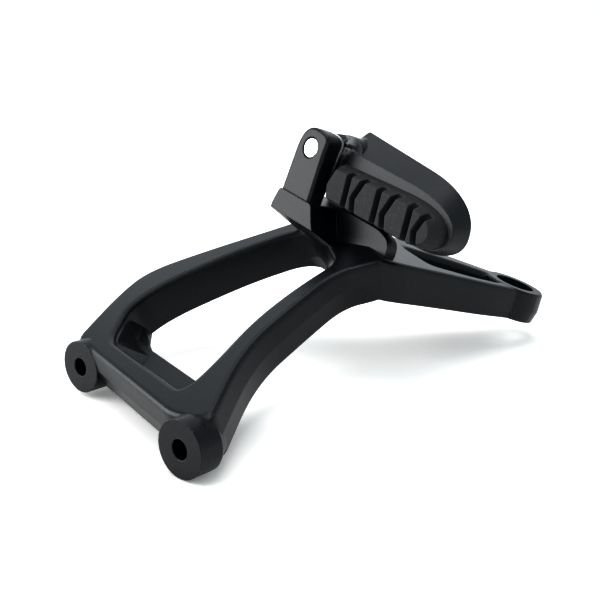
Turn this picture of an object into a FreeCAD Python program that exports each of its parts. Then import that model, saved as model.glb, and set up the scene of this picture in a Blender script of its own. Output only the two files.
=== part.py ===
"""Folding pillion footrest on a cast bracket, lying as it would on a bench. Millimetres."""
import FreeCAD, Part
import os
from math import cos, radians, sin

Vector = FreeCAD.Vector

# Driving dimensions
PIN_DIA = 8.0
PIN_HEAD_DIA = 10.0
PIN_HEAD_DEPTH = 4.0
BOSS_DIA = 24.0
BOSS_SPAN = 99.7
ARM_REACH = 139.4
PIN_SIDE = 9.3
PIN_RISE = 54.1
EYELET_REACH = 107.8
EYELET_SIDE = 67.1
EYELET_PROUD = 0.1
PEG_REACH = 90.5
BOSS_LENGTH = 11.0
BOSS_ROOT = 6.0
BOLT_HOLE_DIA = 8.5
BOLT_DEPTH = 15.0
FRAME_HALF = 9.5
WEB_TOP = -3.0
EYELET_DIA = 31.0
EYELET_BORE_DIA = 20.2
RING_EASE = 0.8
ARM_THICK = 15.6
CHANNEL_FLOOR = 4.0
UPPER_DRAFT = 1.0
LOWER_DRAFT = 1.6
DRILL_POINT = 0.6
EDGE_RADIUS = 2.5
EASE_STEPS = 3
EAR_EDGE = 1.6
FOOT_STEP = 1.0
EAR_THICK = 10.0
EAR_RADIUS = 9.8
KNUCKLE_RADIUS = 9.6
KNUCKLE_WIDTH = 21.5
PLATE_THICK = 1.2
BALL_DIA = 4.0
SCREW_DIA = 5.0

# Clearances
PIN_CLEAR = 0.05
HEAD_CLEAR = 0.25
SIDE_CLEAR = 0.1
BALL_CLEAR = 0.05
SCREW_CLEAR = 0.2
STOP_CLEAR = 0.1

# Reach of cutting solids past the casting
CUT_REACH = 400.0

# Frames: arms and bosses lie in the casting frame, clevis, peg and eyelet in the pin frame
PIN_FRAME = FreeCAD.Placement(Vector(PIN_SIDE, ARM_REACH, PIN_RISE), FreeCAD.Rotation(2.4, 12.7, 57.1))
LIE = FreeCAD.Placement(Vector(0, 0, 0), FreeCAD.Rotation(0, 1.0, 15.6))
BOSS_OUT = Vector(0.268, -0.914, 0.30).normalize()
FRONT_BOSS = Vector(0, 0, 0)
REAR_BOSS = Vector(BOSS_SPAN, 0, 0)

# Stack along the pin, from the visible ear face inward
EAR_TOP_Z = 0.0
PLATE_Z = EAR_TOP_Z - EAR_THICK - SIDE_CLEAR
KNUCKLE_Z = PLATE_Z - PLATE_THICK - SIDE_CLEAR
EAR_LOW_Z = KNUCKLE_Z - KNUCKLE_WIDTH - SIDE_CLEAR
STACK_END_Z = EAR_LOW_Z - EAR_THICK
CLEVIS_FLOOR_Y = -24.0
HUB_TOP_Y = -32.0
EYELET = Vector(EYELET_SIDE, HUB_TOP_Y + EYELET_PROUD, -EYELET_REACH)

# Bend: the eyelet arm's top plane meets the arms' top plane along a line, mitred on its bisector
UP = Vector(0, 0, 1)
ARM_UP = PIN_FRAME.Rotation.multVec(Vector(0, 1, 0))
BEND_LINE = ARM_UP.cross(UP).normalize()
BEND_NORMAL = (UP + ARM_UP).cross(BEND_LINE).normalize()
FRAME_TOP = UP * FRAME_HALF
TOWARD_HUB = UP.cross(BEND_LINE)
HUB_RISE = (PIN_FRAME.multVec(Vector(0, HUB_TOP_Y, 0)) - FRAME_TOP).dot(ARM_UP)
BEND_POINT = FRAME_TOP + TOWARD_HUB * (HUB_RISE / TOWARD_HUB.dot(ARM_UP))

# Peg levels along the pin
RIM_Z = -12.0
PAD_TOP_Z = RIM_Z + 8.5
GROOVE_DEPTH = 4.6
GROOVE_WIDTH = 3.8
TREAD_PITCH = 20.5
PEG_WIDE_Z = RIM_Z - 12.0
PEG_LOW_Z = PEG_WIDE_Z - 2.0
PEG_WALL = 3.0
PEG_SIDE_Y = -22.4
RIM_OUTLINE = [
    (12, -19.8), (PEG_REACH - 10.5, -19.8), (PEG_REACH, -13), (PEG_REACH - 3, -1.8), (PEG_REACH - 21.5, 4.4),
    (10, 5.6),
]
WIDE_OUTLINE = [
    (11, PEG_SIDE_Y), (PEG_REACH - 14.5, PEG_SIDE_Y), (PEG_REACH, -14), (PEG_REACH - 3, 1.5),
    (PEG_REACH - 20.5, 11.2), (9, 16.3),
]
PAD_OUTLINE = [
    (13.5, -19.4), (PEG_REACH - 12.5, -19.4), (PEG_REACH - 3, -14.5), (PEG_REACH - 6, -3.5),
    (PEG_REACH - 20.5, 0.8), (12, -1.2),
]
TREAD_OUTLINE = [
    (15, -19), (PEG_REACH - 13.5, -19), (PEG_REACH - 6, -14), (PEG_REACH - 8.5, -5.8),
    (PEG_REACH - 22.5, -2.6), (14.5, -3.6),
]
PEG_EASE = [4, 12, 14, 14, 14, 3]
PAD_MID_Y = -9.5
FIRST_GROOVE = 28.5
RIB_THICK = 2.4
RIB_STATIONS = (32, 53, 74)

# Small parts
BALL_ORBIT = 6.8
BALL_RISE = 0.5
BALL_Z = KNUCKLE_Z - BALL_DIA / 2 + BALL_RISE
TRACK_WIDTH = 2.8
SPRING_DEPTH = 14.0
SPRING_RADIUS = 1.45
SPRING_WIRE = 0.55
SPRING_TURNS = 4
WASHER_THICK = 1.5
CLIP_THICK = 1.2
CLIP_Z = STACK_END_Z - WASHER_THICK - 2 * SIDE_CLEAR
CLIP_BORE = 6.4
HEAD_SINK = -0.3
INSERT_DIA = 7.0
INSERT_HEIGHT = 6.5
SCREW_STATIONS = (FIRST_GROOVE + 0.65 * TREAD_PITCH, FIRST_GROOVE + 1.65 * TREAD_PITCH)


def rounded_wire(points, radii):
    """Closed wire through points, each corner eased by its radius."""
    count = len(points)
    starts, ends = [], []
    for i in range(count):
        before = points[i - 1] - points[i]
        after = points[(i + 1) % count] - points[i]
        starts.append(points[i] + Vector(before).normalize() * min(radii[i], 0.48 * before.Length))
        ends.append(points[i] + Vector(after).normalize() * min(radii[i], 0.48 * after.Length))
    edges = []
    for i in range(count):
        corner = Part.BezierCurve()
        corner.setPoles([starts[i], points[i], ends[i]])
        edges.append(corner.toShape())
        edges.append(Part.makeLine(ends[i], starts[(i + 1) % count]))
    return Part.Wire(edges)


def inset(points, distance):
    """Outline moved inward (counter-clockwise outlines) with every side kept parallel."""
    moved = []
    for i, here in enumerate(points):
        before, after = points[i - 1], points[(i + 1) % len(points)]
        first = Vector(here[0] - before[0], here[1] - before[1], 0).normalize()
        second = Vector(after[0] - here[0], after[1] - here[1], 0).normalize()
        scale = distance / (1 + first.dot(second))
        shift = (Vector(-first.y, first.x, 0) + Vector(-second.y, second.x, 0)) * scale
        moved.append((here[0] + shift.x, here[1] + shift.y))
    return moved


def drafted(points, radii, levels):
    """Solid over an eased outline whose sides step in at each (z, inset) level."""
    wires = []
    for z, distance in levels:
        wires.append(rounded_wire([Vector(x, y, z) for x, y in inset(points, distance)], radii))
    return Part.makeLoft(wires, True, True)


def eased_top(z, distance):
    """Levels that round a top edge inward from a wall that stands at the given inset."""
    levels = []
    for step in range(EASE_STEPS + 1):
        turn = radians(90 * step / EASE_STEPS)
        levels.append((z - EDGE_RADIUS * (1 - sin(turn)), distance + EDGE_RADIUS * (1 - cos(turn))))
    return levels


def flared_top(z, distance):
    """Levels that round the mouth of a pocket outward, and carry it clear of the top face."""
    levels = [(level, 2 * distance - step) for level, step in eased_top(z, distance)]
    return levels + [(z + 1, levels[-1][1])]


def soften(shape, radius, z):
    """Round the edges that lie at one level of a drafted solid."""
    edges = [edge for edge in shape.Edges if all(abs(v.Z - z) < 0.01 for v in edge.Vertexes)]
    return shape.makeFillet(radius, edges)


def placed(shape, frame):
    moved = shape.copy()
    moved.Placement = frame.multiply(moved.Placement)
    return moved


def cylinder(diameter, z0, z1, x=0.0, y=0.0):
    return Part.makeCylinder(diameter / 2, abs(z1 - z0), Vector(x, y, min(z0, z1)))


def beyond_bend(side):
    """Half-space box on one side of the bend between the arms and the eyelet arm."""
    box = Part.makeBox(CUT_REACH, CUT_REACH, CUT_REACH, Vector(-CUT_REACH / 2, 0, -CUT_REACH / 2))
    turn = FreeCAD.Rotation(Vector(0, 1, 0), BEND_NORMAL * side)
    return placed(box, FreeCAD.Placement(BEND_POINT, turn))


def arm_frame():
    """Front arm, rear arm and cross member round a drafted window that keeps a web at the cross member."""
    far, rear = ARM_REACH, BOSS_SPAN
    outline = [
        (-11, 5), (4, 4), (rear - 11.7, 3), (rear + 10.3, 11), (73, 50), (60, 86), (52, far - 27.4),
        (60.5, far - 13.4), (74.6, far + 34.6), (-10.7, far + 34), (-22, far - 4.4), (-38.5, 90), (-46.5, 60),
        (-36, 38),
    ]
    radii = [4, 5, 5, 8, 30, 18, 16, 12, 2, 2, 12, 25, 16, 20]
    levels = [(-FRAME_HALF, LOWER_DRAFT), (0, 0)] + eased_top(FRAME_HALF, UPPER_DRAFT)
    body = drafted(outline, radii, levels)
    window = [
        (8, 15), (rear - 23.7, 15), (rear - 23.7, 22), (68, 39), (54, 64), (45, 93), (41, far - 19.4),
        (6, far - 3.4), (-9, far - 9.4), (-19, 100), (-23, 58), (-17, 36),
    ]
    window_radii = [8, 6, 6, 10, 16, 20, 8, 9, 9, 20, 14, 12]
    levels = [(-FRAME_HALF - 1, LOWER_DRAFT + 0.5)] + flared_top(FRAME_HALF, 0.5)
    web = [(-40, 0), (rear + 10.3, 0), (rear + 10.3, 31), (0, 31), (-40, 37)]
    hole = drafted(window, window_radii, levels)
    hole = hole.cut(drafted(web, [1, 1, 1, 12, 1], [(-FRAME_HALF - 2, -2), (WEB_TOP, 0.5)]))
    return body.cut(hole).cut(beyond_bend(1))


def eyelet_arm():
    """Hub floor and channel arm from the bend to the eyelet, thinning on its underside."""
    across, along = EYELET_SIDE, EYELET_REACH
    outline = [
        (-25.9, 13), (53.4, -9.1), (64.2, 16.8), (69, 45), (across + 10.9, along - 23.8),
        (across + 12.9, along + 4.2), (across - 13.1, along + 4.2), (across - 37.1, along - 23.8), (8, 52),
        (-12.1, 46.2),
    ]
    radii = [2, 2, 16, 20, 20, 5, 5, 20, 20, 6]
    deep = -2 * FRAME_HALF
    arm = drafted(outline, radii, [(deep, LOWER_DRAFT), (-FRAME_HALF, 0)] + eased_top(0, UPPER_DRAFT))
    under = [
        (20, deep), (along - 15.8, -ARM_THICK), (along + 22.2, -ARM_THICK), (along + 22.2, 2 * deep),
        (20, 2 * deep),
    ]
    side = Part.makePolygon([Vector(-60, y, z) for y, z in under + under[:1]])
    arm = arm.cut(Part.Face(side).extrude(Vector(CUT_REACH / 2, 0, 0)))
    slot = [
        (32, 54), (56, 50), (across - 2.1, along - 35.8), (across + 1.9, along - 15.8),
        (across - 9.1, along - 10.8), (across - 19.1, along - 23.8),
    ]
    arm = arm.cut(drafted(slot, [6] * 6, [(-ARM_THICK + CHANNEL_FLOOR, 1)] + flared_top(0, 0)))
    turn = FreeCAD.Rotation(Vector(1, 0, 0), -90)
    arm = placed(arm, FreeCAD.Placement(Vector(0, HUB_TOP_Y, 0), turn))
    return placed(arm, PIN_FRAME).cut(beyond_bend(-1))


def boss(face_centre):
    """Round bolt boss whose root narrows into the arm."""
    barrel = Part.makeCylinder(BOSS_DIA / 2, BOSS_LENGTH, face_centre, -BOSS_OUT)
    foot = face_centre - BOSS_OUT * BOSS_LENGTH
    root = Part.makeCone(BOSS_DIA / 2, BOSS_DIA / 3, BOSS_ROOT, foot, -BOSS_OUT)
    return barrel.fuse(root)


def bolt_hole(face_centre):
    """Tapped hole at its core diameter, with a drill point."""
    radius = BOLT_HOLE_DIA / 2
    hole = Part.makeCylinder(radius, BOLT_DEPTH + 1, face_centre + BOSS_OUT, -BOSS_OUT)
    point = Part.makeCone(radius, 0, radius * DRILL_POINT, face_centre - BOSS_OUT * BOLT_DEPTH, -BOSS_OUT)
    return hole.fuse(point)


def eyelet():
    """Turned ring, drafted both ways from its parting line."""
    radius = EYELET_DIA / 2
    low = -ARM_THICK
    points = [
        (0, 0), (radius - RING_EASE, 0), (radius, -RING_EASE), (radius + UPPER_DRAFT, -FRAME_HALF),
        (radius, low), (0, low),
    ]
    outline = Part.makePolygon([Vector(r, y, 0) for r, y in points + points[:1]])
    ring = Part.Face(outline).revolve(Vector(0, 0, 0), Vector(0, 1, 0), 360)
    ring.translate(EYELET)
    return placed(ring, PIN_FRAME)


def eyelet_bore():
    start = EYELET + Vector(0, 1, 0)
    return placed(Part.makeCylinder(EYELET_BORE_DIA / 2, ARM_THICK + 20, start, Vector(0, -1, 0)), PIN_FRAME)


def cross_prism(points, radii, z0, z1):
    """Prism along the pin over an eased outline."""
    return drafted(points, radii, [(z0, 0), (z1, 0)])


def clevis():
    """Two ears on a stepped foot that overhangs the window, and the rib the folded peg rests on."""
    solids = []
    for top in (EAR_TOP_Z, EAR_LOW_Z):
        ear = [(-9.5, -36), (12, -36), (EAR_RADIUS, 0), (EAR_RADIUS, EAR_RADIUS), (-EAR_RADIUS, EAR_RADIUS)]
        plate = cross_prism(ear, [1, 1, 8, 13, 13], top - EAR_THICK, top)
        solids.append(soften(soften(plate, EAR_EDGE, top), EAR_EDGE, top - EAR_THICK))
    front = [(-11.5, -33), (-8, -56), (40, -56), (20, -34), (14.5, CLEVIS_FLOOR_Y), (-9.5, CLEVIS_FLOOR_Y)]
    foot = cross_prism(front, [2, 2, 2, 6, 2, 2], STACK_END_Z, FOOT_STEP)
    side = [
        (FOOT_STEP, CLEVIS_FLOOR_Y), (FOOT_STEP, -35), (-26, -46), (-26, -58), (STACK_END_Z, -58),
        (STACK_END_Z, CLEVIS_FLOOR_Y),
    ]
    profile = Part.makePolygon([Vector(-20, y, z) for z, y in side + side[:1]])
    solids.append(foot.common(Part.Face(profile).extrude(Vector(70, 0, 0))))
    rest = PEG_SIDE_Y - STOP_CLEAR
    rib = [(8, -38), (54, -38), (54, -26), (46, rest), (8, rest)]
    solids.append(cross_prism(rib, [1, 1, 5, 5, 1], PEG_LOW_Z + 2, RIM_Z - 5))
    return [placed(solid, PIN_FRAME) for solid in solids]


def pin_bores():
    shank = cylinder(PIN_DIA + 2 * PIN_CLEAR, STACK_END_Z - 1, 1)
    head = cylinder(PIN_HEAD_DIA + 2 * HEAD_CLEAR, -PIN_HEAD_DEPTH, 1)
    return [placed(shank, PIN_FRAME), placed(head, PIN_FRAME)]


def bracket():
    body = arm_frame()
    for piece in [eyelet_arm(), boss(FRONT_BOSS), boss(REAR_BOSS), eyelet()] + clevis():
        body = body.fuse(piece)
    for cutter in [bolt_hole(FRONT_BOSS), bolt_hole(REAR_BOSS), eyelet_bore()] + pin_bores():
        body = body.cut(cutter)
    return body


def lofted(levels, ease):
    """Solid through eased outlines given as (z, outline, inset)."""
    wires = []
    for z, outline, step in levels:
        wires.append(rounded_wire([Vector(x, y, z) for x, y in inset(outline, step)], ease))
    return Part.makeLoft(wires, True, True)


def peg_body():
    """Cast peg: flared flank under the pad, ribbed hollow below, knuckle round the pin."""
    levels = [(RIM_Z, RIM_OUTLINE, 0), (PEG_WIDE_Z, WIDE_OUTLINE, 0), (PEG_LOW_Z, WIDE_OUTLINE, 1.5)]
    body = lofted(levels, PEG_EASE)
    wall = PEG_WALL + 0.6
    hollow = lofted([(RIM_Z - PEG_WALL, RIM_OUTLINE, wall), (PEG_LOW_Z - 1, WIDE_OUTLINE, wall)], PEG_EASE)
    hollow = hollow.cut(Part.makeBox(KNUCKLE_RADIUS + 8, 60, 60, Vector(0, -30, -60)))
    for x in RIB_STATIONS:
        hollow = hollow.cut(Part.makeBox(RIB_THICK, 60, 60, Vector(x - RIB_THICK / 2, -30, -60)))
    body = body.cut(hollow)
    knuckle = cylinder(2 * KNUCKLE_RADIUS, KNUCKLE_Z - KNUCKLE_WIDTH, KNUCKLE_Z)
    neck = [(0, -KNUCKLE_RADIUS), (14, -16), (22, -12), (22, 8), (14, 13), (0, KNUCKLE_RADIUS)]
    neck = cross_prism(neck, [0.5, 6, 6, 6, 6, 0.5], PEG_LOW_Z + 0.5, KNUCKLE_Z - 1.5)
    body = body.fuse(neck).fuse(knuckle)
    body = body.cut(cylinder(PIN_DIA + 2 * PIN_CLEAR, KNUCKLE_Z - KNUCKLE_WIDTH - 1, KNUCKLE_Z + 1))
    ball_hole = BALL_DIA + 2 * BALL_CLEAR
    body = body.cut(cylinder(ball_hole, KNUCKLE_Z - SPRING_DEPTH, KNUCKLE_Z + 1, BALL_ORBIT, 0))
    for x in SCREW_STATIONS:
        body = body.cut(cylinder(SCREW_DIA + 2 * SCREW_CLEAR, PEG_LOW_Z, RIM_Z + 1, x, PAD_MID_Y))
    return body


def groove(path):
    """Tread groove along a path across the pad, of even width along the peg."""
    half = GROOVE_WIDTH / 2
    outline = [(x - half, y) for x, y in path] + [(x + half, y) for x, y in reversed(path)]
    wire = Part.makePolygon([Vector(x, y, PAD_TOP_Z - GROOVE_DEPTH) for x, y in outline + outline[:1]])
    return Part.Face(wire).extrude(Vector(0, 0, GROOVE_DEPTH + 1))


def peg_pad():
    """Moulded pad: sloped shoulder, then tread blocks between straight and kinked grooves."""
    levels = [(RIM_Z, PAD_OUTLINE, 0), (PAD_TOP_Z - 1, TREAD_OUTLINE, 0), (PAD_TOP_Z, TREAD_OUTLINE, 0.8)]
    pad = lofted(levels, [4, 8, 10, 12, 12, 4])
    for i in range(4):
        x = FIRST_GROOVE + i * TREAD_PITCH
        pad = pad.cut(groove([(x - 2.5, 6), (x + 2.5, -26)]))
        pad = pad.cut(groove([(x - 9.5, 6), (x - 15, -12.5), (x - 9.5, -26)]))
    for x in SCREW_STATIONS:
        pad = pad.cut(cylinder(INSERT_DIA, RIM_Z - 1, RIM_Z + INSERT_HEIGHT, x, PAD_MID_Y))
    return pad


def pivot_pin():
    """Headed pin, grooved for the clip beyond the hidden ear."""
    tip = STACK_END_Z - WASHER_THICK - 2 * SIDE_CLEAR - CLIP_THICK - 2.2
    head = cylinder(PIN_HEAD_DIA, -PIN_HEAD_DEPTH + SIDE_CLEAR, HEAD_SINK)
    head = head.makeChamfer(0.5, [edge for edge in head.Edges if edge.Vertexes[0].Z > -1])
    shank = cylinder(PIN_DIA, tip, -1)
    shank = shank.makeChamfer(0.6, [edge for edge in shank.Edges if edge.Vertexes[-1].Z < tip + 0.1])
    return head.fuse(shank).cut(clip_ring(CLIP_THICK + 0.1, CLIP_Z + 0.05, CLIP_BORE, PIN_DIA + 2))


def clip_ring(thick, top, bore, outer):
    return cylinder(outer, top - thick, top).cut(cylinder(bore, top - thick - 1, top + 1))


def detent_plate():
    """Thin plate keyed on the clevis floor, with an arc track for the ball."""
    low = CLEVIS_FLOOR_Y + SIDE_CLEAR
    wide = EAR_RADIUS
    outline = [(-9, low), (9, low), (wide, 0), (wide, wide), (-wide, wide), (-wide, 0)]
    plate = cross_prism(outline, [1, 1, 4, 13, 13, 4], PLATE_Z - PLATE_THICK, PLATE_Z)
    plate = plate.cut(cylinder(PIN_DIA + 2 * PIN_CLEAR, PLATE_Z - 2, PLATE_Z + 1))
    track = cylinder(2 * BALL_ORBIT + TRACK_WIDTH, PLATE_Z - 2, PLATE_Z + 1)
    track = track.cut(cylinder(2 * BALL_ORBIT - TRACK_WIDTH, PLATE_Z - 3, PLATE_Z + 2))
    track = track.common(Part.makeBox(20, 20, 10, Vector(0, 0, PLATE_Z - 5)))
    for x, y in ((BALL_ORBIT, 0), (0, BALL_ORBIT)):
        track = track.fuse(cylinder(TRACK_WIDTH, PLATE_Z - 2, PLATE_Z + 1, x, y))
    return plate.cut(track)


def detent_ball():
    return Part.makeSphere(BALL_DIA / 2, Vector(BALL_ORBIT, 0, BALL_Z))


def detent_spring():
    """Open coil between the seat and the ball."""
    low = KNUCKLE_Z - SPRING_DEPTH + SPRING_WIRE / 2
    high = BALL_Z - BALL_DIA / 2 - SPRING_WIRE / 2
    coil = Part.makeHelix((high - low) / SPRING_TURNS, high - low, SPRING_RADIUS)
    start = Vector(SPRING_RADIUS, 0, 0)
    half = SPRING_WIRE / 2
    corners = [start + Vector(a * half, 0, b * half) for a, b in ((-1, -1), (1, -1), (1, 1), (-1, 1))]
    section = Part.makePolygon(corners + corners[:1])
    spring = Part.Wire(coil.Edges).makePipeShell([section], True, True)
    spring.translate(Vector(BALL_ORBIT, 0, low))
    return spring


def pin_washer():
    return clip_ring(WASHER_THICK, STACK_END_Z - SIDE_CLEAR, PIN_DIA + 2 * PIN_CLEAR, 16)


def pin_clip():
    """Snap ring open at one side."""
    ring = clip_ring(CLIP_THICK, CLIP_Z, CLIP_BORE + 2 * PIN_CLEAR, 13)
    return ring.cut(Part.makeBox(20, 5.4, 10, Vector(0, -2.7, CLIP_Z - 5)))


def pad_screws():
    """Two flanged hexagon screws under the peg's floor."""
    screws = []
    seat = RIM_Z - PEG_WALL
    for x in SCREW_STATIONS:
        shank = cylinder(SCREW_DIA, seat - 1, RIM_Z + INSERT_HEIGHT - 1.2, x, PAD_MID_Y)
        flange = cylinder(2 * SCREW_DIA, seat - 1, seat, x, PAD_MID_Y)
        corners = [(x + 4.4 * cos(radians(60 * k)), PAD_MID_Y + 4.4 * sin(radians(60 * k))) for k in range(6)]
        wire = Part.makePolygon([Vector(a, b, seat - 4.5) for a, b in corners + corners[:1]])
        screws.append(Part.Face(wire).extrude(Vector(0, 0, 3.6)).fuse([shank, flange]))
    return Part.makeCompound(screws)


def pad_inserts():
    """Two threaded bushes moulded into the pad."""
    bushes = []
    for x in SCREW_STATIONS:
        bush = cylinder(INSERT_DIA, RIM_Z, RIM_Z + INSERT_HEIGHT, x, PAD_MID_Y)
        bushes.append(bush.cut(cylinder(SCREW_DIA + 0.2, RIM_Z - 1, RIM_Z + INSERT_HEIGHT - 1, x, PAD_MID_Y)))
    return Part.makeCompound(bushes)


def export(name, shape):
    placed(shape, LIE).exportStep("parts/" + name + ".step")


os.makedirs("parts", exist_ok=True)
export("bracket", bracket())
for build in (
    peg_body, peg_pad, pivot_pin, detent_plate, detent_ball, detent_spring, pin_washer, pin_clip, pad_screws,
    pad_inserts,
):
    export(build.__name__, placed(build(), PIN_FRAME))
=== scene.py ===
"""Studio scene for a folding pillion footrest: finishes, floor, light and camera. Metres."""
from math import radians

import bmesh
import bpy
from mathutils import Matrix, Vector


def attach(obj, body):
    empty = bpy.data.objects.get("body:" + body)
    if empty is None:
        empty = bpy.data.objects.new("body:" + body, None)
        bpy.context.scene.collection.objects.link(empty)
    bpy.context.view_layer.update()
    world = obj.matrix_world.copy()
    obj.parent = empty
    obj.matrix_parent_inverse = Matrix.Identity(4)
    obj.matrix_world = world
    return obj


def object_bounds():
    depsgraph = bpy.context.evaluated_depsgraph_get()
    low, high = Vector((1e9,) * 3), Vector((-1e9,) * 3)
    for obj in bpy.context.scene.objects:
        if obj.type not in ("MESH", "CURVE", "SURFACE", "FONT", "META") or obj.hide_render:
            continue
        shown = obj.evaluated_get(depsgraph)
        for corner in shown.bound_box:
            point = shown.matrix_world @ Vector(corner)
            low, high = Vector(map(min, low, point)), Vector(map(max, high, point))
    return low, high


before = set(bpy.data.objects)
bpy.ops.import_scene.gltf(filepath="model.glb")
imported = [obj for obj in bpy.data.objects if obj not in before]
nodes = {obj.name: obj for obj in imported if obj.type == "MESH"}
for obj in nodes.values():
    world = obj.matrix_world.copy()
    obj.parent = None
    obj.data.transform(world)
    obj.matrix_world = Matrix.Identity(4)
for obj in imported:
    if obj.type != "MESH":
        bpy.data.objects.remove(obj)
cad_low, cad_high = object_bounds()

# Camera of the photograph, in the row frame
CAMERA_PLACE = (0.41125, -0.14668, 0.16281)
CAMERA_RIGHT = (0.54716, 0.83688, -0.01544)
CAMERA_UP = (-0.24132, 0.17539, 0.95446)
CAMERA_LENS = 60.0
CAMERA_NEAR = 0.01

# Studio
FLOOR_RADIUS = 14.0
FLOOR_SEGMENTS = 96
FLOOR_GLOW = 0.2
SKY_TINT = (0.9, 0.96, 1.0, 1.0)
SKY_HORIZON = 1.14
SKY_ZENITH = 0.85
KEY_TOWARD = (-0.55, -0.82, 0.3)
KEY_SIZE = 1.0
KEY_POWER = 16.0
BACK_TOWARD = (-0.8, 0.5, 0.42)
BACK_SIZE = 1.2
BACK_POWER = 2.4
OVERHEAD_TOWARD = (-0.12, 0.1, 1.0)
OVERHEAD_SIZE = 0.9
OVERHEAD_POWER = 7.0
LIGHT_DISTANCE = 1.2
PICTURE_GAMMA = 0.62

# Finishes: colours, and grain as a scale, a depth and a radius for soft edges
COAT_DARK = (0.0024, 0.0042, 0.0075, 1.0)
COAT_LIGHT = (0.01, 0.0125, 0.0165, 1.0)
# Light specks on the coat's edges: partly bare metal, partly painted highlight for the lit edges
COAT_SPECK_AND_HIGHLIGHT = (0.16, 0.165, 0.17, 1.0)
COAT_GRAIN = (900.0, 0.00006, 0.0007)
COAT_ROUGHNESS = 0.34
COAT_SHINE = 0.5
BARE_METAL = (0.42, 0.42, 0.44, 1.0)
RUBBER_DARK = (0.042, 0.044, 0.046, 1.0)
RUBBER_LIGHT = (0.06, 0.062, 0.064, 1.0)
RUBBER_SCUFF = (0.1, 0.102, 0.104, 1.0)
RUBBER_GRAIN = (500.0, 0.00004, 0.0008)
RUBBER_ROUGHNESS = 0.58
RUBBER_SHINE = 0.25
ZINC_LIGHT = (0.84, 0.84, 0.82, 1.0)
ZINC_DARK = (0.74, 0.75, 0.74, 1.0)
ZINC_GRAIN = (1400.0, 0.000015, 0.0003)
ZINC_ROUGHNESS = 0.34
FLOOR_COLOUR = (0.96, 0.935, 0.91, 1.0)
FLOOR_LIGHT = (1.0, 1.0, 1.0, 1.0)
FLOOR_ROUGHNESS = 0.9
FLOOR_SHINE = 0.1

# Grain and edges that the finishes share
PEEL_DETAIL = 3.0
PEEL_ROUGHNESS = 0.6
FLAKE_FINENESS = 2.2
FLAKE_START = 0.72
EDGE_SAMPLES = 6
EDGE_FLAT = 0.995
EDGE_TURNED = 0.86

# Colour sockets of a mix node
MIX_DARK = 6
MIX_LIGHT = 7
MIX_RESULT = 2

# Sloped filling of the window's corner: height and outline at three levels, in millimetres
CORNER_LEVELS = (
    (-9.5, ((-12.0, 13.8), (21.9, 12.0), (17.4, 29.1), (-6.0, 36.5), (-16.9, 43.0), (-21.9, 50.0))),
    (-3.5, ((-12.0, 13.8), (21.9, 12.0), (17.4, 27.7), (-1.5, 29.1), (-16.3, 39.9), (-21.2, 45.3))),
    (7.0, ((-12.0, 13.8), (9.0, 12.0), (8.0, 14.9), (6.5, 16.3), (-15.0, 34.3), (-19.9, 37.0))),
)
CASTING_TILT = 15.6
CASTING_LEAN = 1.0
MILLIMETRE = 0.001

# Rubbed spot beside the detent plate, on the folded peg
WORN_PLACE = (0.018, 0.1392, 0.0885)
WORN_REACH = 0.009
WORN_SCALE = 420.0
WORN_DETAIL = 4.0
WORN_PATCHES = (0.44, 0.58)

ZINC_PIECES = (
    "pivot_pin", "detent_plate", "detent_ball", "detent_spring", "pin_washer", "pin_clip",
    "pad_screws", "pad_inserts",
)


def socket(group, name, side, kind="NodeSocketFloat"):
    """Adds a named socket to a shader group."""
    group.interface.new_socket(name=name, in_out=side, socket_type=kind)


def cast_grain_group():
    """Fine orange-peel grain of a cast and coated surface: a height and a sparkle mask."""
    group = bpy.data.node_groups.new("cast_grain", "ShaderNodeTree")
    socket(group, "Vector", "INPUT", "NodeSocketVector")
    socket(group, "Grain Scale", "INPUT")
    socket(group, "Height", "OUTPUT")
    socket(group, "Sparkle", "OUTPUT")
    nodes_in, links = group.nodes, group.links
    source = nodes_in.new("NodeGroupInput")
    result = nodes_in.new("NodeGroupOutput")
    peel = nodes_in.new("ShaderNodeTexNoise")
    peel.inputs["Detail"].default_value = PEEL_DETAIL
    peel.inputs["Roughness"].default_value = PEEL_ROUGHNESS
    links.new(source.outputs["Vector"], peel.inputs["Vector"])
    links.new(source.outputs["Grain Scale"], peel.inputs["Scale"])
    links.new(peel.outputs["Fac"], result.inputs["Height"])
    finer = nodes_in.new("ShaderNodeMath")
    finer.operation = "MULTIPLY"
    finer.inputs[1].default_value = FLAKE_FINENESS
    links.new(source.outputs["Grain Scale"], finer.inputs[0])
    flake = nodes_in.new("ShaderNodeTexVoronoi")
    links.new(source.outputs["Vector"], flake.inputs["Vector"])
    links.new(finer.outputs["Value"], flake.inputs["Scale"])
    pick = nodes_in.new("ShaderNodeSeparateColor")
    links.new(flake.outputs["Color"], pick.inputs["Color"])
    ramp = nodes_in.new("ShaderNodeValToRGB")
    ramp.color_ramp.elements[0].position = FLAKE_START
    links.new(pick.outputs["Red"], ramp.inputs["Fac"])
    links.new(ramp.outputs["Color"], result.inputs["Sparkle"])


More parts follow.
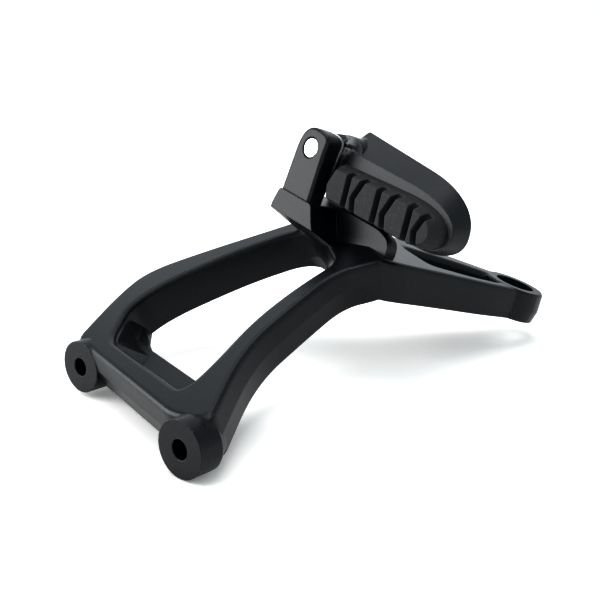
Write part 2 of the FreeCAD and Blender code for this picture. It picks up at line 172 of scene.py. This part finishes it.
def soft_edge_group():
    """Edges as if rounded: a normal that turns over the edge, and a mask that is 1 on it."""
    group = bpy.data.node_groups.new("soft_edge", "ShaderNodeTree")
    socket(group, "Radius", "INPUT")
    socket(group, "Normal", "OUTPUT", "NodeSocketVector")
    socket(group, "Edge", "OUTPUT")
    nodes_in, links = group.nodes, group.links
    source = nodes_in.new("NodeGroupInput")
    result = nodes_in.new("NodeGroupOutput")
    rounding = nodes_in.new("ShaderNodeBevel")
    rounding.samples = EDGE_SAMPLES
    links.new(source.outputs["Radius"], rounding.inputs["Radius"])
    links.new(rounding.outputs["Normal"], result.inputs["Normal"])
    surface = nodes_in.new("ShaderNodeNewGeometry")
    along = nodes_in.new("ShaderNodeVectorMath")
    along.operation = "DOT_PRODUCT"
    links.new(rounding.outputs["Normal"], along.inputs[0])
    links.new(surface.outputs["Normal"], along.inputs[1])
    ramp = nodes_in.new("ShaderNodeMapRange")
    ramp.inputs["From Min"].default_value = EDGE_FLAT
    ramp.inputs["From Max"].default_value = EDGE_TURNED
    links.new(along.outputs["Value"], ramp.inputs["Value"])
    links.new(ramp.outputs["Result"], result.inputs["Edge"])


def new_material(name):
    """Empty node material with a Principled shader and Object coordinates."""
    material = bpy.data.materials.new(name)
    material.use_nodes = True
    tree = material.node_tree
    shader = tree.nodes["Principled BSDF"]
    place = tree.nodes.new("ShaderNodeTexCoord")
    return material, tree, shader, place


def add_finish(tree, place, shader, grain):
    """Places the shared grain and soft edges in a material and feeds both to the shader's normal."""
    scale, depth, radius = grain
    grained = tree.nodes.new("ShaderNodeGroup")
    grained.node_tree = bpy.data.node_groups["cast_grain"]
    grained.inputs["Grain Scale"].default_value = scale
    tree.links.new(place.outputs["Object"], grained.inputs["Vector"])
    edged = tree.nodes.new("ShaderNodeGroup")
    edged.node_tree = bpy.data.node_groups["soft_edge"]
    edged.inputs["Radius"].default_value = radius
    bump = tree.nodes.new("ShaderNodeBump")
    bump.inputs["Strength"].default_value = 1.0
    bump.inputs["Distance"].default_value = depth
    tree.links.new(grained.outputs["Height"], bump.inputs["Height"])
    tree.links.new(edged.outputs["Normal"], bump.inputs["Normal"])
    tree.links.new(bump.outputs["Normal"], shader.inputs["Normal"])
    return grained.outputs["Sparkle"], edged.outputs["Edge"]


def product(tree, first, second):
    """Two masks multiplied."""
    times = tree.nodes.new("ShaderNodeMath")
    times.operation = "MULTIPLY"
    tree.links.new(first, times.inputs[0])
    tree.links.new(second, times.inputs[1])
    return times.outputs["Value"]


def mixed_colour(tree, mask, dark, light):
    """Colour that goes from dark to light by a mask; dark may be another mix."""
    mix = tree.nodes.new("ShaderNodeMix")
    mix.data_type = "RGBA"
    if isinstance(dark, tuple):
        mix.inputs[MIX_DARK].default_value = dark
    else:
        tree.links.new(dark, mix.inputs[MIX_DARK])
    mix.inputs[MIX_LIGHT].default_value = light
    tree.links.new(mask, mix.inputs[0])
    return mix.outputs[MIX_RESULT]


def black_coat(tree, shader, place):
    """Satin black coat over a cast grain: a fine sparkle, and light specks along the edges, partly bare
    metal and partly painted highlight.
    """
    shader.inputs["Roughness"].default_value = COAT_ROUGHNESS
    shader.inputs["Specular IOR Level"].default_value = COAT_SHINE
    sparkle, edge = add_finish(tree, place, shader, COAT_GRAIN)
    coat = mixed_colour(tree, sparkle, COAT_DARK, COAT_LIGHT)
    # Light specks along every edge: partly bare metal, partly painted highlight
    edge_specks_and_highlight = product(tree, sparkle, edge)
    return mixed_colour(tree, edge_specks_and_highlight, coat, COAT_SPECK_AND_HIGHLIGHT)


def black_casting_material():
    """Coated casting."""
    material, tree, shader, place = new_material("black_casting")
    tree.links.new(black_coat(tree, shader, place), shader.inputs["Base Color"])
    return material


def worn_mask(tree, place):
    """Mottled mask round the place where the coat is rubbed through."""
    away = tree.nodes.new("ShaderNodeVectorMath")
    away.operation = "DISTANCE"
    away.inputs[1].default_value = WORN_PLACE
    tree.links.new(place.outputs["Object"], away.inputs[0])
    near = tree.nodes.new("ShaderNodeMapRange")
    near.inputs["From Min"].default_value = WORN_REACH
    near.inputs["From Max"].default_value = WORN_REACH / 2
    tree.links.new(away.outputs["Value"], near.inputs["Value"])
    mottle = tree.nodes.new("ShaderNodeTexNoise")
    mottle.inputs["Scale"].default_value = WORN_SCALE
    mottle.inputs["Detail"].default_value = WORN_DETAIL
    tree.links.new(place.outputs["Object"], mottle.inputs["Vector"])
    patches = tree.nodes.new("ShaderNodeMapRange")
    patches.inputs["From Min"].default_value = WORN_PATCHES[0]
    patches.inputs["From Max"].default_value = WORN_PATCHES[1]
    tree.links.new(mottle.outputs["Fac"], patches.inputs["Value"])
    return product(tree, near.outputs["Result"], patches.outputs["Result"])


def worn_casting_material():
    """Coated casting of the peg, rubbed bare in mottles beside the detent plate."""
    material, tree, shader, place = new_material("worn_casting")
    coat = black_coat(tree, shader, place)
    colour = mixed_colour(tree, worn_mask(tree, place), coat, BARE_METAL)
    tree.links.new(colour, shader.inputs["Base Color"])
    return material


def pad_rubber_material():
    """Matte moulded rubber, scuffed a little along its tread edges."""
    material, tree, shader, place = new_material("pad_rubber")
    shader.inputs["Roughness"].default_value = RUBBER_ROUGHNESS
    shader.inputs["Specular IOR Level"].default_value = RUBBER_SHINE
    sparkle, edge = add_finish(tree, place, shader, RUBBER_GRAIN)
    rubber = mixed_colour(tree, sparkle, RUBBER_DARK, RUBBER_LIGHT)
    scuffed = mixed_colour(tree, edge, rubber, RUBBER_SCUFF)
    tree.links.new(scuffed, shader.inputs["Base Color"])
    return material


def zinc_steel_material():
    """Bright zinc plate on steel, mottled like a passivated coat."""
    material, tree, shader, place = new_material("zinc_steel")
    shader.inputs["Metallic"].default_value = 1.0
    shader.inputs["Roughness"].default_value = ZINC_ROUGHNESS
    sparkle, _ = add_finish(tree, place, shader, ZINC_GRAIN)
    colour = mixed_colour(tree, sparkle, ZINC_LIGHT, ZINC_DARK)
    tree.links.new(colour, shader.inputs["Base Color"])
    return material


def dress(material, names):
    """Gives a finish to CAD nodes."""
    for name in names:
        slots = nodes[name].data.materials
        slots.clear()
        slots.append(material)


def window_corner(material):
    """Closed wedge in the window's corner behind the front boss, sunk into the casting at its sides."""
    mesh = bmesh.new()
    lie = Matrix.Rotation(radians(CASTING_LEAN), 4, "Y") @ Matrix.Rotation(radians(CASTING_TILT), 4, "X")
    levels = []
    for z, outline in CORNER_LEVELS:
        levels.append([mesh.verts.new(lie @ (Vector((x, y, z)) * MILLIMETRE)) for x, y in outline])
    mesh.faces.new(reversed(levels[0]))
    mesh.faces.new(levels[-1])
    count = len(levels[0])
    for lower, upper in zip(levels, levels[1:]):
        for i in range(count):
            j = (i + 1) % count
            mesh.faces.new((lower[i], lower[j], upper[j], upper[i]))
    bmesh.ops.triangulate(mesh, faces=mesh.faces)
    data = bpy.data.meshes.new("window_corner")
    mesh.to_mesh(data)
    mesh.free()
    data.materials.append(material)
    made = bpy.data.objects.new("window_corner", data)
    bpy.context.scene.collection.objects.link(made)
    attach(made, "bracket")


def floor():
    """Round pale table top under the object."""
    mesh = bmesh.new()
    bmesh.ops.create_circle(mesh, cap_ends=True, segments=FLOOR_SEGMENTS, radius=FLOOR_RADIUS)
    bmesh.ops.translate(mesh, verts=mesh.verts, vec=(0.0, 0.0, cad_low[2]))
    data = bpy.data.meshes.new("floor")
    mesh.to_mesh(data)
    mesh.free()
    made = bpy.data.objects.new("floor", data)
    bpy.context.scene.collection.objects.link(made)
    pale, _, shader, _ = new_material("pale_floor")
    shader.inputs["Base Color"].default_value = FLOOR_COLOUR
    shader.inputs["Roughness"].default_value = FLOOR_ROUGHNESS
    shader.inputs["Specular IOR Level"].default_value = FLOOR_SHINE
    shader.inputs["Emission Color"].default_value = FLOOR_LIGHT
    shader.inputs["Emission Strength"].default_value = FLOOR_GLOW
    data.materials.append(pale)


def softbox(name, toward, size, power):
    """Square soft light that looks at the middle of the object."""
    lamp = bpy.data.lights.new(name, "AREA")
    lamp.size = size
    lamp.energy = power
    made = bpy.data.objects.new(name, lamp)
    aim = Vector(toward).normalized()
    made.location = (Vector(cad_low) + Vector(cad_high)) / 2 + aim * LIGHT_DISTANCE
    made.rotation_euler = aim.to_track_quat("Z", "Y").to_euler()
    bpy.context.scene.collection.objects.link(made)


def light():
    """Pale surroundings, brightest at the horizon, and three broad lights."""
    world = bpy.data.worlds.new("studio")
    world.use_nodes = True
    tree = world.node_tree
    sky = tree.nodes["Background"]
    sky.inputs["Color"].default_value = SKY_TINT
    place = tree.nodes.new("ShaderNodeTexCoord")
    split = tree.nodes.new("ShaderNodeSeparateXYZ")
    tree.links.new(place.outputs["Generated"], split.inputs["Vector"])
    rise = tree.nodes.new("ShaderNodeMapRange")
    rise.inputs["To Min"].default_value = SKY_HORIZON
    rise.inputs["To Max"].default_value = SKY_ZENITH
    tree.links.new(split.outputs["Z"], rise.inputs["Value"])
    tree.links.new(rise.outputs["Result"], sky.inputs["Strength"])
    bpy.context.scene.world = world
    softbox("key_light", KEY_TOWARD, KEY_SIZE, KEY_POWER)
    softbox("back_light", BACK_TOWARD, BACK_SIZE, BACK_POWER)
    softbox("overhead_light", OVERHEAD_TOWARD, OVERHEAD_SIZE, OVERHEAD_POWER)


def camera():
    """Camera at the photograph's viewing angle."""
    data = bpy.data.cameras.new("camera")
    data.lens = CAMERA_LENS
    data.clip_start = CAMERA_NEAR
    made = bpy.data.objects.new("camera", data)
    right, up = Vector(CAMERA_RIGHT), Vector(CAMERA_UP)
    turn = Matrix((right, up, right.cross(up))).transposed().to_4x4()
    made.matrix_world = Matrix.Translation(CAMERA_PLACE) @ turn
    bpy.context.scene.collection.objects.link(made)
    bpy.context.scene.camera = made


cast_grain_group()
soft_edge_group()
casting = black_casting_material()
dress(casting, ["bracket"])
window_corner(casting)
dress(worn_casting_material(), ["peg_body"])
dress(pad_rubber_material(), ["peg_pad"])
dress(zinc_steel_material(), ZINC_PIECES)
floor()
light()
camera()
bpy.context.scene.view_settings.view_transform = "Standard"
bpy.context.scene.view_settings.gamma = PICTURE_GAMMA
